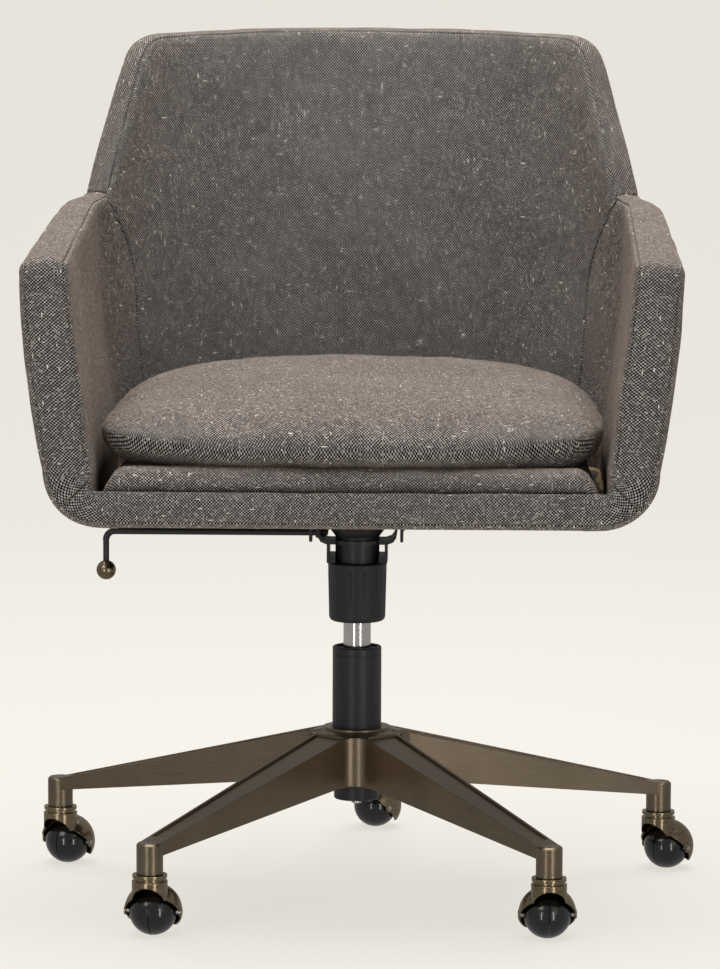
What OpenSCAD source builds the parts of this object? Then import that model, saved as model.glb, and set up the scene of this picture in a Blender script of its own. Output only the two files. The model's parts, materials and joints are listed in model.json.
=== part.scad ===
// Swivel office chair: upholstered bucket seat with a loose cushion, tilt head with a
// coaxial tension knob, gas lift, five-arm base and five hooded twin-wheel casters.
// Millimetres. Origin on the floor under the column, +Z up, the seat faces -Y.

/* [Base] */
// Distance from the column to each caster stem
base_r = 330; // [300:5:340]
// Width of each arm where it leaves the hub
arm_root_w = 42; // [38:1:48]
// Width of each arm where it meets its caster boss
arm_tip_w = 24; // [15:1:25]
// Height of the top of the hub
hub_top = 166.5; // [158:0.5:168]
// Height of the underside of the hub
hub_bottom = 112.5; // [105:0.5:114]
// Diameter of the boss that holds a caster stem
boss_d = 26; // [24:1:30]

/* [Casters] */
// Diameter of the twin wheels
wheel_d = 47; // [44:0.5:50]
// Distance from the stem axis back to the wheel axle
trail = 15; // [12:1:18]
// Outer radius of the ball hood
hood_r = 28.5; // [28:0.5:30]
// Thickness of the hood
hood_t = 1.6; // [1.2:0.1:2]

/* [Gas lift] */
// Diameter of the outer column tube
column_d = 50; // [50:1:51]
// Height of the top rim of the column tube
column_top = 249.7; // [245:0.1:252]
// Diameter of the sliding pressure tube
gas_d = 28; // [28:1:28]

/* [Tilt head] */
// Height of the tilt axis
tilt_z = 384; // [383:0.5:385]
// Diameter of the tension knob at its top
knob_d = 60; // [58:0.5:61]
// Height of the tension knob
knob_h = 60.6; // [58:0.1:61]
// Reach of the lift lever from the column to its hanging end
lever_reach = 257; // [230:1:270]
// Diameter of the ball on the lever
lever_ball_d = 20; // [16:1:24]

/* [Bucket] */
// Half width of the bucket across the front of the arms
half_w = 321.5; // [310:0.5:325]
// Front of the arms, as a distance forward of the column
front_reach = 285; // [275:1:290]
// Where the straight arm begins to turn in, behind the column
arm_curve_y = 66; // [60:1:72]
// Height of the underside of the bucket
bucket_bottom = 403; // [403:0.5:404]
// Outer radius of the lower corner of the bucket
corner_r = 55; // [52:1:58]
// Wall thickness at the front of the arms
wall_front = 43; // [41:1:45]
// Wall thickness along the back
wall_back = 38; // [36:1:40]
// Height of the arm tops at the front
arm_front_z = 660; // [650:1:670]
// Height where the arm top meets the wing
arm_rear_z = 705; // [700:1:710]
// Height of the top of the back
back_top_z = 878; // [870:1:885]

/* [Cushion] */
// Half width of the loose seat cushion
cushion_half_w = 247; // [240:1:249]
// Height of the cushion's underside
cushion_bottom = 456; // [455:0.5:458]
// Height of the cushion's crown
cushion_crown = 526; // [515:1:530]

/* [Hidden] */
$fn = 64;
fit = 0.05;        // radial running clearance
big = 100;         // larger than any detail it cuts

// Colours
bronze = "#8d7f66";
brass = "#a8946c";
black_paint = "#26262a";
black_plastic = "#232226";
gloss_black = "#0d0d0f";
chrome = "#c9c4bd";
zinc = "#8f9092";
tweed = "#5f5955";
tweed_warm = "#6d645e";
foam = "#d8cfae";
ply = "#c9a877";
cambric = "#1c1c1e";

// Arms, counted clockwise from the front left; each angle is from the front towards +X
arm_angles = [-36, 36, 108, 180, 252];
// Direction in which each caster trails, from the rear towards +X
headings = [9, -4.5, 38, 55, 26];

// Base
boss_top = 94;
boss_bottom = 63.4;
stem_r = 5.5;
arm_tip_under = 81;
arm_wall = 3;
top_recess = 2.2;
recess_r = 44;              // where an arm's top recess starts
hub_wall_r = 34;
web_r = 18;                 // round corner between two arms
plate_t = 5;

// Casters
ball_r = wheel_d / 2;
wheel_gap = 0.4;           // from the caster's centre plane to each wheel's inner face
axle_r = 2.5;
hood_inner = hood_r - hood_t;
neck_r = 17.5;
neck_z = [38, 56.5];
arch_r = 16.2;             // arch cut through the front of the neck
arch_top = 51.2;
collar_z = [59.6, 62.9];

// Gas lift
column_r = column_d / 2;
column_foot = 92;
column_bore = 21.5;
socket_slope = 0.0248;     // change of radius per millimetre of the tapered joint
gas_r = gas_d / 2;
gas_bore = 12;
gas_bottom = 132;
gas_top = 372;
gas_taper = 336;
rod_r = 5;
pin_r = 3;
pin_top = 379.2;

// Tilt head
knob_top = 336.5;
knob_bottom = knob_top - knob_h;
hub_r = 22.5;
hub_z = [337, 378];
spigot_r = 20;
spigot_bottom = 284.2;
ear_x = 38.5;
ear_t = 2.5;
pivot_r = 3.5;
flange_x = 44.5;
flange_t = 3;
lever_r = 3.4;
lever_z = 366.2;
lever_pivot_x = -39.5;
trunnion_r = 1.6;
lever_drop = 40;

// Bucket: plan curve of the outer face, with k = 0 at the middle of the back, 1 where
// the wing starts, 2 at the arm, 3 where the arm is straight and 4 at its front end
arm_toe = 1.2;             // degrees by which each arm closes towards the rear
turn_arm = 36;             // direction of the wall's normal where arm and wing meet
turn_wing = 52;            // and where wing and back meet
arm_curve_r = 100;
wing_curve_r = 270;
x_straight = half_w - (arm_curve_y + front_reach) * tan(arm_toe);
x_wing = x_straight - arm_curve_r * (cos(arm_toe) - cos(turn_arm));
x_back = x_wing - wing_curve_r * (cos(turn_arm) - cos(turn_wing));
back_curve_r = x_back / cos(turn_wing);
y_arm_centre = arm_curve_y - arm_curve_r * sin(arm_toe);
y_wing_centre = y_arm_centre + (arm_curve_r - wing_curve_r) * sin(turn_arm);
y_back_centre = y_wing_centre + (wing_curve_r - back_curve_r) * sin(turn_wing);
x_wing_centre = x_wing - wing_curve_r * cos(turn_arm);
x_arm_centre = x_straight - arm_curve_r * cos(arm_toe);

// Bucket: layers of the wall, as depths from its outer face
cover_depth = [0, 7.5];
frame_depth = [8, 20];
pad_depth = 20.5;
band_h = 10;
corner_z = bucket_bottom + corner_r;
front_band_t = 13.5;
band_gap = 2;              // between the front band and the layers behind it
layer_front = front_reach - front_band_t - band_gap;
board_z = [bucket_bottom, bucket_bottom + 15];
board_inset = corner_r + 1;
bolt_x = 70;
bolt_y = 60;
bolt_r = 3;
plate_z = [398.5, 401.5];
deck_z = [board_z[1] + 2, 452];
deck_lip_z = 447.5;
rail_z = [404, 440];
rail_t = 18;

// ---------------------------------------------------------------- helpers

// Solid through a list of closed loops with the same even number of points. Each loop
// runs down one face and back up the other, so its ends close as strips.
module loft(loops) {
    n = len(loops[0]);
    last = len(loops) - 1;
    sides = [for (i = [0 : last - 1], j = [0 : n - 1])
        let (a = i * n + j, b = i * n + (j + 1) % n)
        each [[a, b, b + n], [a, b + n, a + n]]];
    caps = [for (i = [0 : n / 2 - 2])
        let (a = i, b = i + 1, c = n - 2 - i, d = n - 1 - i, e = last * n)
        each [[a, d, c], [a, c, b], [e + a, e + b, e + c], [e + a, e + c, e + d]]];
    polyhedron([for (loop = loops) each loop], concat(sides, caps), convexity = 8);
}

// Outline in distance from the column and height, extruded across the arm's width
module arm_slab(outline, width)
    rotate([90, 0, -90]) linear_extrude(width, center = true) polygon(outline);

module on_arm(i) rotate([0, 0, arm_angles[i]]) translate([0, -base_r, 0]) children();

// Caster frame: origin on the floor under the stem, the wheels trail along +Y
module on_caster(i)
    on_arm(i) rotate([0, 0, -headings[i] - arm_angles[i]]) children();

module ring(r_out, r_in, z0, z1)
    rotate_extrude() translate([r_in, z0]) square([r_out - r_in, z1 - z0]);

module both_sides() {
    children();
    mirror([1, 0, 0]) children();
}

// ---------------------------------------------------------------- bucket surface

function plan_angle(k) =
    k <= 1 ? 90 + (turn_wing - 90) * k :
    k <= 2 ? turn_wing + (turn_arm - turn_wing) * (k - 1) :
    k <= 3 ? turn_arm + (arm_toe - turn_arm) * (k - 2) : arm_toe;

// Point and normal angle of the outer face in plan, for k from 0 to 4 on the right side
function plan_point(k, front) =
    let (t = plan_angle(k))
    k <= 1 ? [back_curve_r * cos(t), y_back_centre + back_curve_r * sin(t), t] :
    k <= 2 ? [x_wing_centre + wing_curve_r * cos(t), y_wing_centre + wing_curve_r * sin(t), t] :
    k <= 3 ? [x_arm_centre + arm_curve_r * cos(t), y_arm_centre + arm_curve_r * sin(t), t] :
    let (run = (arm_curve_y + front) * (k - 3))
    [x_straight + run * tan(arm_toe), arm_curve_y - run, t];

// How far the arms and the back lean out of the plan curve at a height
function lean_x(z) = z < 680 ? -0.00045 * pow(680 - z, 2) : 0;
function lean_y(z) = let (q = z - 700) 0.16 * q + 0.00014 * q * q;

// Height of the bucket's rim along the plan curve
wing_top_k = 1.1;
function rim_z(k) =
    k >= 3 ? arm_rear_z - 5 + (arm_front_z - arm_rear_z + 5) * (k - 3) :
    k >= 2 ? arm_rear_z - 5 * (k - 2) :
    k >= wing_top_k ? arm_rear_z + (back_top_z - 28 - arm_rear_z) * (2 - k) / (2 - wing_top_k) :
    back_top_z - 28 * pow(k / wing_top_k, 7);

function wall(k) = k < 2 ? wall_back : wall_back + (wall_front - wall_back) * (k - 2) / 2;

// Point of the wall at a height and depth; turn runs from 0 to 90 round the lower corner
function wall_point(side, k, z, depth, turn = 0, front = layer_front) =
    let (p = plan_point(k, front),
         inset = depth * cos(turn) + corner_r * (1 - cos(turn)),
         level = max(z, corner_z))
    [side * (p[0] + cos(p[2]) * (lean_x(level) - inset)),
     p[1] + sin(p[2]) * (lean_y(level) - inset),
     turn > 0 ? corner_z - (corner_r - depth) * sin(turn) : z];

// Stations round the bucket from the left arm's front to the right arm's front
half_ks = [0.2, 0.4, 0.6, 0.8, 0.95, 1.1, 1.25, 1.5, 1.75, 2, 2.33, 2.67, 3, 3.5, 4];
stations = concat([for (i = [len(half_ks) - 1 : -1 : 0]) [-1, half_ks[i]]], [[1, 0]],
                  [for (k = half_ks) [1, k]]);

// One face of a wall layer, from just under the rim down to the seat or the lower edge
function face_points(s, depth, rounded) = concat(
    [for (f = [1, 0.75, 0.5, 0.25, 0])
        wall_point(s[0], s[1], corner_z + (rim_z(s[1]) - band_h - corner_z) * f, depth)],
    rounded ? [for (t = [22.5 : 22.5 : 90]) wall_point(s[0], s[1], corner_z, depth, t)] : []);

function flip(list) = [for (i = [len(list) - 1 : -1 : 0]) list[i]];

function layer_loop(s, d0, d1, rounded) =
    concat(face_points(s, d0, rounded), flip(face_points(s, d1, rounded)));

function pick(from, to) = [for (i = [from : to]) stations[i]];
mid = len(half_ks);
corner_i = 9;              // index in half_ks of the arm end of the wing

// Inner outline of the bucket floor at a depth from the outer face
function floor_outline(inset, front) =
    [for (s = stations) let (p = plan_point(s[1], front))
        [s[0] * (p[0] + cos(p[2]) * (lean_x(corner_z) - inset)),
         p[1] + sin(p[2]) * (lean_y(corner_z) - inset)]];

// Right half of the bucket's front outline at a depth: down the arm and round the corner
function front_half(depth) = concat(
    [for (z = [arm_front_z - 2, 630, 600, 570, 540, 510, 480, corner_z])
        [half_w + lean_x(z) - depth, z]],
    [for (t = [15 : 15 : 90])
        [half_w + lean_x(corner_z) - corner_r + (corner_r - depth) * cos(t),
         corner_z - (corner_r - depth) * sin(t)]]);

function mirrored(list) = [for (p = flip(list)) [-p[0], p[1]]];

// ---------------------------------------------------------------- base

module arm_body() {
    root = 32;
    root_w = arm_root_w / 2 + (arm_root_w - arm_tip_w) / 2 * (40 - root) / (base_r - 40);
    profile = [[root, arm_top(root)], [base_r, boss_top - 0.6],
               [base_r, arm_tip_under], [root, arm_under(root)]];
    intersection() {
        arm_slab(profile, 2 * root_w + 2);
        linear_extrude(hub_top + 1)
            polygon([[root_w, -root], [arm_tip_w / 2, -base_r],
                     [-arm_tip_w / 2, -base_r], [-root_w, -root]]);
    }
}

// Space inside an arm's walls, between two heights given at the hub and at the tip
module arm_space(r0, r1, low, high) {
    slope = (arm_tip_w - arm_root_w) / 2 / (base_r - 40);
    w0 = arm_root_w / 2 + slope * (r0 - 40) - arm_wall;
    w1 = arm_root_w / 2 + slope * (r1 - 40) - arm_wall;
    intersection() {
        arm_slab([[r0, low[0]], [r0, high[0]], [r1, high[1]], [r1, low[1]]], arm_root_w);
        linear_extrude(hub_top + 10) polygon([[w0, -r0], [w1, -r1], [-w1, -r1], [-w0, -r0]]);
    }
}

function arm_top(r) = hub_top + (boss_top - hub_top) * (r - column_r) / (base_r - column_r);
function arm_under(r) = hub_bottom + (arm_tip_under - hub_bottom) * (r - 42) / (base_r - 42);

// Web that fills the angle between two arms with a round inner corner
module hub_web() {
    half = 36;                                  // half the angle between two arms
    centre = (arm_root_w / 2 - 0.5 + web_r) / sin(half);
    reach = centre * cos(half);                 // along an arm to the end of the round
    tangent = [web_r * cos(half), web_r * sin(half) - centre];
    difference() {
        intersection() {
            linear_extrude(hub_top + 10)
                polygon([[0, 0], [reach * sin(half), -reach * cos(half)], tangent,
                         [-tangent[0], tangent[1]], [-reach * sin(half), -reach * cos(half)]]);
            rotate_extrude()
                polygon([[0, arm_under(0) - 0.4], [0, arm_top(hub_wall_r) + 0.6],
                         [hub_wall_r, arm_top(hub_wall_r) + 0.6], [centre, arm_top(centre) + 0.6],
                         [centre, arm_under(centre) - 0.4]]);
        }
        translate([0, -centre, 0]) cylinder(h = hub_top + 20, r = web_r);
    }
}

module base_star() color(bronze) difference() {
    union() {
        for (a = arm_angles) rotate([0, 0, a]) {
            arm_body();
            rotate([0, 0, 36]) hub_web();
        }
        translate([0, 0, hub_bottom - 0.8])
            cylinder(h = hub_top - hub_bottom + 1.2, r = hub_wall_r);
        for (i = [0 : 4]) on_arm(i) boss();
    }
    for (a = arm_angles) rotate([0, 0, a]) {
        arm_space(recess_r, base_r - 15,
                  [arm_top(recess_r) - top_recess, arm_top(base_r - 15) - top_recess],
                  [arm_top(recess_r) + 5, arm_top(base_r - 15) + 5]);
        arm_space(48, base_r - 22, [arm_under(48) - 5, arm_under(base_r - 22) - 5],
                  [arm_top(48) - plate_t, arm_top(base_r - 22) - plate_t]);
    }
    translate([0, 0, hub_bottom - 2])
        cylinder(h = hub_top - hub_bottom + 4,
                 r1 = column_r - (hub_top - hub_bottom + 2) * socket_slope,
                 r2 = column_r + 2 * socket_slope);
    for (i = [0 : 4]) on_arm(i) translate([0, 0, boss_bottom - 1])
        cylinder(h = 27, r = stem_r + fit);
}

module boss() rotate_extrude()
    polygon([[0, boss_bottom], [boss_d / 2, boss_bottom], [boss_d / 2, boss_top - 2],
             [boss_d / 2 - 2, boss_top], [0, boss_top]]);

module column_tube() color(black_paint) {
    foot_r = column_r - 0.05 - (hub_top - column_foot) * socket_slope;
    rotate_extrude()
        polygon([[rod_r + 0.1, column_foot], [foot_r - 1, column_foot],
                 [foot_r, column_foot + 1], [column_r - 0.05, hub_top],
                 [column_r, hub_top + 3], [column_r, column_top - 8.6],
                 [column_r - 0.5, column_top - 8.4], [column_r - 0.5, column_top - 7.8],
                 [column_r, column_top - 7.6], [column_r, column_top - 1],
                 [column_r - 1, column_top], [column_bore + 0.4, column_top],
                 [column_bore, column_top - 0.4], [column_bore, 96], [rod_r + 0.1, 96]]);
}

module guide_bush() color(black_plastic)
    ring(column_bore - 0.02, gas_r + fit, 150, column_top - 2.4);

// ---------------------------------------------------------------- gas lift

module piston_rod() color(chrome) {
    translate([0, 0, 87]) cylinder(h = 138.5, r = rod_r);
    ring(9, rod_r - 1, 101.2, 104);
}

module piston() color(zinc) rotate_extrude()
    polygon([[0, 225.6], [gas_bore - fit, 225.6], [gas_bore - fit, 229], [gas_bore - 1.5, 229.5],
             [gas_bore - 1.5, 231.5], [gas_bore - fit, 232], [gas_bore - fit, 235], [0, 235]]);

module thrust_bearing() color(zinc) {
    ring(13, rod_r + 0.02, 96.2, 97.6);
    ring(13, rod_r + 0.02, 99.6, 101);
    ring(11.5, 7.5, 97.6, 99.6);
}

module retaining_clip() color(zinc) difference() {
    ring(9, rod_r + 0.02, 89.6, 91.6);
    translate([-3, -12, 89]) cube([6, 8, 4]);
}

module pressure_tube() color(chrome) {
    slope_r = gas_r - (gas_top - gas_taper) * socket_slope;
    rotate_extrude()
        polygon([[rod_r + fit, gas_bottom], [gas_r - 1, gas_bottom], [gas_r, gas_bottom + 1],
                 [gas_r, gas_taper], [slope_r, gas_top], [pin_r + fit, gas_top],
                 [pin_r + fit, gas_top - 12], [gas_bore, gas_top - 12],
                 [gas_bore, gas_bottom + 8], [rod_r + fit, gas_bottom + 8]]);
}

module release_pin() color(zinc)
    translate([0, 0, gas_top - 10]) cylinder(h = pin_top - gas_top + 10, r = pin_r);

// ---------------------------------------------------------------- tilt head

module hub_tube() color(black_paint) difference() {
    slope_r = gas_r - (gas_top - gas_taper) * socket_slope + 0.03;
    rotate_extrude()
        polygon([[gas_r + 0.6, spigot_bottom], [spigot_r, spigot_bottom], [spigot_r, hub_z[0]],
                 [hub_r, hub_z[0]], [hub_r, 363], [31, 374], [31, hub_z[1]], [slope_r, hub_z[1]],
                 [slope_r, gas_top], [gas_r + 0.03, gas_taper], [gas_r + 0.6, gas_taper - 1]]);
    translate([-ear_x - 1.5, -5.2, 364]) cube([20, 10.4, 22]);
    translate([-22, -5.2, 372.5]) cube([11, 10.4, 10]);
}

module tilt_yoke() color(black_paint) difference() {
    union() {
        intersection() {
            rotate([90, 0, 0]) linear_extrude(38, center = true) both_sides() yoke_outline();
            rotate([90, 0, 90]) linear_extrude(2 * big, center = true)
                polygon([[-19, 337], [19, 337], [19, 374], [8.5, 391], [-8.5, 391], [-19, 374]]);
        }
        ring(27, hub_r - 2, 356, 360);
    }
    cylinder(h = 400, r = hub_r + 0.02);
    rotate([0, 90, 0]) translate([-tilt_z, 0, -big]) cylinder(h = 2 * big, r = pivot_r + fit);
    translate([-ear_x - 6, -5.2, lever_z - 5.2]) cube([2 * ear_x + 12, 10.4, 10.4]);
}

// Right cheek: inward foot, strap, shoulder welded to the hub, and ear
module yoke_outline() polygon([
    [22, 337], [30.8, 337], [30.8, 356], [37, 358.5], [40, 363], [ear_x + ear_t, 369],
    [ear_x + ear_t, 391], [ear_x, 391], [ear_x, 370], [37.4, 365.5], [34.5, 361.8],
    [29, 360], [22, 360], [22, 356], [28.2, 356], [28.2, 344.5], [22, 344.5]]);

module lever_bush() color(black_plastic) difference() {
    translate([-ear_x - ear_t - 1.6, -5, lever_z - 5]) cube([ear_t + 3.2, 10, 10]);
    rotate([0, 90, 0]) translate([-lever_z, 0, -big]) cylinder(h = big, r = lever_r + 0.8);
    translate([lever_pivot_x, 0, lever_z]) rotate([90, 0, 0])
        cylinder(h = 12, r = trunnion_r + fit, center = true);
}

// Lever: hanging end, bend, long rod under the seat, step and flat paddle over the valve
module lever_rod() color(black_paint) {
    bend = 9;
    x_in = -33;
    x_up = -26;
    paddle_z = pin_top + 0.5;
    translate([-lever_reach + bend, 0, lever_z]) rotate([0, 90, 0])
        cylinder(h = lever_reach - bend + x_in, r = lever_r);
    translate([-lever_reach + bend, 0, lever_z - bend]) rotate([90, 0, 0])
        rotate([0, 0, 90]) rotate_extrude(angle = 90) translate([bend, 0]) circle(r = lever_r);
    translate([-lever_reach, 0, lever_z - lever_drop + 8])
        cylinder(h = lever_drop - 8 - bend, r = lever_r * 0.92);
    translate([x_in, 0, lever_z]) sphere(r = lever_r);
    translate([lever_pivot_x, 0, lever_z]) rotate([90, 0, 0])
        cylinder(h = 9.6, r = trunnion_r, center = true);
    translate([x_in, 0, lever_z]) rotate([0, atan2(x_up - x_in, paddle_z + 1.5 - lever_z), 0])
        cylinder(h = norm([x_up - x_in, paddle_z + 1.5 - lever_z]), r = 2.4);
    translate([x_up - 3, -4.5, paddle_z]) cube([35, 9, 3]);
}

module lever_ball() color(brass)
    translate([-lever_reach, 0, lever_z - lever_drop]) difference() {
        sphere(d = lever_ball_d);
        translate([0, 0, 8]) cylinder(h = 10, r = lever_r * 0.92 + 0.02);
    }

module thrust_washer() color(zinc) ring(24.3, spigot_r + 0.2, 301.3, 303.3);

module knob_nut() color(zinc) ring(24.45, spigot_r + 0.08, 284, 301);

// Coil spring between the thrust washer and the underside of the hub
module tension_spring() color(zinc) {
    turns = 5;
    steps = 14;
    sides = 6;
    coil_r = 22.35;
    wire_r = 1.35;
    z0 = 303.5 + wire_r;
    z1 = hub_z[0] - 0.2 - wire_r;
    count = turns * steps;
    rings = [for (i = [0 : count]) let (a = 360 * i / steps, z = z0 + (z1 - z0) * i / count)
        [for (j = [0 : sides - 1]) let (b = 360 * j / sides, r = coil_r + wire_r * cos(b))
            [r * cos(a), r * sin(a), z + wire_r * sin(b)]]];
    loft(rings);
}

module tension_knob() color(black_plastic) difference() {
    bottom_r = knob_d / 2 - 1.25;
    rotate_extrude()
        polygon(concat(
            [[gas_r + 1, knob_bottom]],
            [for (t = [-90 : 15 : 0]) [bottom_r - 5 + 5 * cos(t), knob_bottom + 5 + 5 * sin(t)]],
            [[knob_d / 2, knob_top - 1.5], [knob_d / 2 - 1.5, knob_top], [24.5, knob_top],
             [24.5, 283.5], [gas_r + 1, 283.5]]));
    for (a = [16 : 30 : 359]) rotate([0, 0, a - 90]) translate([knob_d / 2 + 1.3, 0, 0]) {
        translate([0, 0, knob_bottom + 3]) cylinder(h = knob_h - 12, r = 2.6, $fn = 24);
        translate([0, 0, knob_top - 9]) sphere(r = 2.6, $fn = 24);
    }
}

// ---------------------------------------------------------------- seat structure

module seat_plate() color(black_paint) difference() {
    union() {
        translate([-95, -80, plate_z[0]]) cube([190, 160, plate_z[1] - plate_z[0]]);
        both_sides() translate([flange_x, 0, 0]) rotate([90, 0, 90])
            linear_extrude(flange_t)
            polygon([[-62, plate_z[0]], [-62, 380], [-57, 366], [-54, 363], [-42, 363],
                     [-36, 368], [-20, 374], [-11, 376.5], [11, 376.5], [20, 374],
                     [36, 368], [42, 363], [54, 363], [57, 366], [62, 380],
                     [62, plate_z[0]]]);
    }
    rotate([0, 90, 0]) translate([-tilt_z, 0, -big]) cylinder(h = 2 * big, r = pivot_r + 0.02);
    for (x = [-bolt_x, bolt_x], y = [-bolt_y, bolt_y])
        translate([x, y, plate_z[0] - 1]) cylinder(h = 5, r = bolt_r + 0.3);
}

module pivot_pins() color(zinc) both_sides() translate([0, 0, tilt_z]) rotate([0, 90, 0]) {
    translate([0, 0, ear_x - 2]) cylinder(h = flange_x + flange_t - ear_x + 2.2, r = pivot_r);
    translate([0, 0, flange_x + flange_t + 0.1]) cylinder(h = 2.4, r1 = 6, r2 = 5);
}

module at_bolts() for (x = [-bolt_x, bolt_x], y = [-bolt_y, bolt_y]) translate([x, y, 0])
    children();

module plate_bolts() color(zinc) at_bolts() {
    translate([0, 0, plate_z[0] - 0.1]) cylinder(h = board_z[1] - 2 - plate_z[0], r = bolt_r);
    translate([0, 0, plate_z[0] - 4.1]) difference() {
        cylinder(h = 4, r1 = 4.6, r2 = 5.6);
        translate([0, 0, -1]) cylinder(h = 3.5, r = 2.3, $fn = 6);
    }
}

module t_nuts() color(zinc) at_bolts() {
    ring(9, bolt_r + 0.03, board_z[1] + 0.1, board_z[1] + 1.3);
    ring(4, bolt_r + 0.03, board_z[0] + 3, board_z[1] + 0.1);
}

module seat_board() color(ply) difference() {
    translate([0, 0, board_z[0]]) linear_extrude(board_z[1] - board_z[0])
        polygon(floor_outline(board_inset, layer_front - rail_t - 3));
    at_bolts() translate([0, 0, board_z[0] - 1]) cylinder(h = 20, r = 4.05);
}

module front_rail() color(ply)
    translate([-236, -layer_front, rail_z[0]]) cube([472, rail_t, rail_z[1] - rail_z[0]]);

module dust_cover() color(cambric) difference() {
    translate([0, 0, plate_z[1] + 0.3]) linear_extrude(1)
        polygon(floor_outline(corner_r + 4, layer_front - 6));
    at_bolts() translate([0, 0, plate_z[1]]) cylinder(h = 4, r = bolt_r + 0.5);
}

module shell_frame() color(ply)
    loft([for (s = stations) layer_loop(s, frame_depth[0], frame_depth[1], true)]);

// ---------------------------------------------------------------- upholstery

module outer_cover() color(tweed)
    loft([for (s = stations) layer_loop(s, cover_depth[0], cover_depth[1], true)]);

module pad(list) loft([for (s = list) layer_loop(s, pad_depth, wall(s[1]), false)]);

module back_pad() color(tweed) pad(pick(mid - corner_i, mid + corner_i));

module arm_pad_left() color(tweed_warm) pad(arm_stations(-1));

module arm_pad_right() color(tweed_warm) pad(arm_stations(1));

// Stations of one arm, starting a hair in front of the back pad's end
function arm_stations(side) =
    let (list = concat([2.015], [for (i = [corner_i + 1 : mid - 1]) half_ks[i]]))
    side > 0 ? [for (k = list) [1, k]] : [for (k = flip(list)) [-1, k]];

module rim_band() color(tweed_warm) {
    edge = 4;
    low = 2.2 - band_h;
    loft([for (s = stations) let (z = rim_z(s[1]), t = wall(s[1]))
        [for (p = [[0, low], [0, -edge], [edge, 0], [t - edge, 0], [t, -edge], [t, low]])
            wall_point(s[0], s[1], z + p[1], p[0])]]);
}

module front_band() color(tweed) translate([0, -layer_front - band_gap, 0]) rotate([90, 0, 0])
    linear_extrude(front_band_t)
    polygon(concat(front_half(0), mirrored(front_half(0)),
                   flip(mirrored(front_half(wall_front))), flip(front_half(wall_front))));

module deck_pad() color(tweed) {
    translate([0, 0, deck_z[0]]) linear_extrude(deck_z[1] - deck_z[0])
        polygon(floor_outline(board_inset, layer_front - rail_t - 3));
    translate([-228, -front_reach + 3, deck_lip_z]) cube([456, 40, deck_z[1] - deck_lip_z]);
}

// Right half of the cushion's outline, from the front to the rear
cushion_half = [[30, -287.5], [90, -284], [150, -276], [200, -265], [232, -249], [244, -226],
                [247, -190], [247, -120], [247, -40], [246, 20], [239, 58], [222, 92],
                [195, 120], [155, 145], [100, 166], [35, 180]];

// Loose cushion: knife-edged at mid height, crowned above and flatter below
module seat_cushion() color(tweed_warm) {
    y_mid = -60;
    levels = [[0.10, 0], [0.80, 0.01], [0.93, 0.08], [0.985, 0.24], [1, 0.44], [0.985, 0.6],
              [0.94, 0.76], [0.84, 0.89], [0.6, 0.975], [0.10, 1]];
    outline = concat(cushion_half, mirrored(cushion_half));
    loft([for (v = levels) [for (p = outline)
        [cushion_half_w / 247 * v[0] * p[0], y_mid + v[0] * (p[1] - y_mid),
         cushion_bottom + (cushion_crown - cushion_bottom) * v[1]]]]);
}

// ---------------------------------------------------------------- casters

module ball_centre() translate([0, trail, ball_r]) children();

// Half space above and behind a plane that leans over the axle
module hood_side() rotate([-45, 0, 0]) translate([-big / 2, -big / 2, -2])
    cube([big, big, big / 2]);

module caster_stem(i) color(zinc) on_caster(i) {
    translate([0, 0, 53]) cylinder(h = 34, r = stem_r);
    translate([0, 0, 87]) cylinder(h = 1.5, r1 = stem_r, r2 = stem_r - 1.5);
}

module caster_hood(i) color(brass) on_caster(i) difference() {
    union() {
        ball_centre() intersection() {
            difference() {
                sphere(r = hood_r);
                sphere(r = hood_inner);
            }
            hood_side();
            translate([-big / 2, -big / 2, 8 - ball_r]) cube(big);
        }
        ball_centre() rotate([0, 90, 0]) difference() {
            cylinder(h = 2 * hood_r, r = 4.6, center = true);
            cylinder(h = 2 * hood_inner - 1, r = 5, center = true);
        }
        difference() {
            translate([0, 0, neck_z[0]]) cylinder(h = neck_z[1] - neck_z[0], r = neck_r);
            ball_centre() sphere(r = hood_inner);
        }
        translate([0, 0, neck_z[1] - 1]) cylinder(h = collar_z[0] - neck_z[1] + 2, r = 14);
        translate([0, 0, collar_z[0]]) cylinder(h = collar_z[1] - collar_z[0], r = 17);
    }
    translate([0, 5, arch_top - arch_r]) rotate([90, 0, 0]) cylinder(h = big, r = arch_r);
    translate([0, 0, 52.9]) cylinder(h = 30, r = stem_r + 0.02);
    ball_centre() rotate([0, 90, 0]) cylinder(h = big, r = axle_r + 0.02, center = true);
}

module caster_axle(i) color(zinc) on_caster(i) ball_centre() rotate([0, 90, 0])
    cylinder(h = 2 * hood_r + 0.6, r = axle_r, center = true);

// Half ball turned about the axle, with a flat inner face and a bored hub
module caster_wheel(i, side) color(gloss_black) on_caster(i) ball_centre()
    rotate([0, side * 90, 0]) rotate_extrude() intersection() {
        circle(r = ball_r);
        translate([axle_r + fit, wheel_gap]) square([ball_r, ball_r]);
    }

// ---------------------------------------------------------------- assembly

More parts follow.
